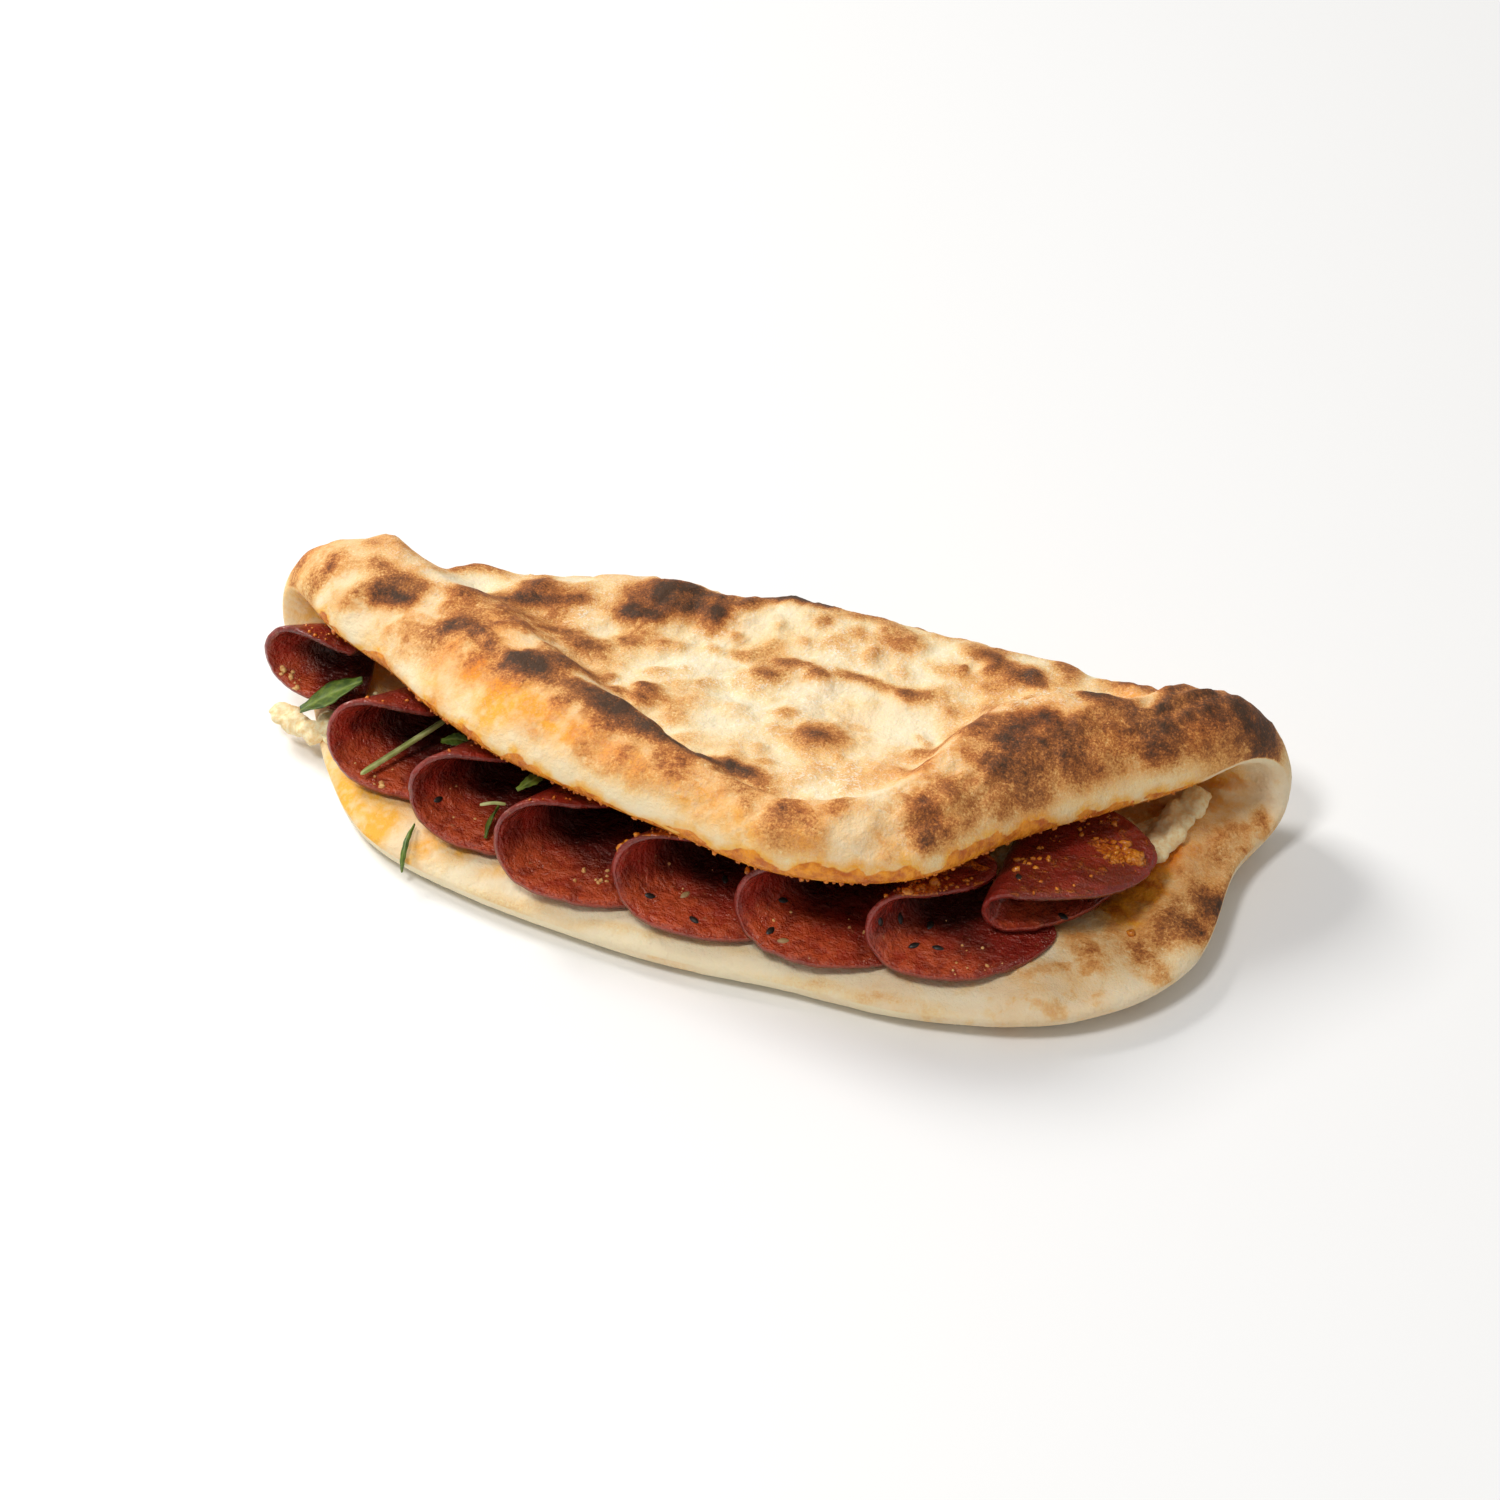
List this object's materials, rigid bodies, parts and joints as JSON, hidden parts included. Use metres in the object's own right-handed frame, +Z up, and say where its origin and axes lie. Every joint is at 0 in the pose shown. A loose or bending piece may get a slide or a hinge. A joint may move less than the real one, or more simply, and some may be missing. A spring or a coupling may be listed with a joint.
{
  "type": "pizza dough sandwich",
  "caption": "Folded oval of baked, charred pizza dough filled with a row of folded salami slices, soft cheese and rocket leaves.",
  "frame": {"origin": "middle of the sandwich's outline on the surface it lies on", "axes": "+X along the fold, from the end with the knob to the wide end, +Y towards the folded back edge, so the open side faces -Y, and +Z up"},
  "size_m": [0.2904, 0.1232, 0.0577],
  "materials": {
    "dough": "matt baked crust, cream with floury, golden brown and charred patches",
    "cheese": "soft, moist, off-white",
    "salami": "deep burgundy red with an oily gloss and a rough rim",
    "leaf": "satin green",
    "stem": "satin pale green"
  },
  "bodies": {
    "root": {"dough": "dough", "cheese": "cheese", "salami_1": "salami", "salami_2": "salami", "salami_3": "salami", "salami_4": "salami", "salami_5": "salami", "salami_6": "salami", "salami_7": "salami", "salami_8": "salami", "rocket_leaf_1": "leaf", "rocket_leaf_2": "leaf", "rocket_leaf_3": "leaf", "rocket_leaf_4": "leaf", "rocket_strip": "leaf", "rocket_stem_1": "stem", "rocket_stem_2": "stem"}
  },
  "joints": []
}
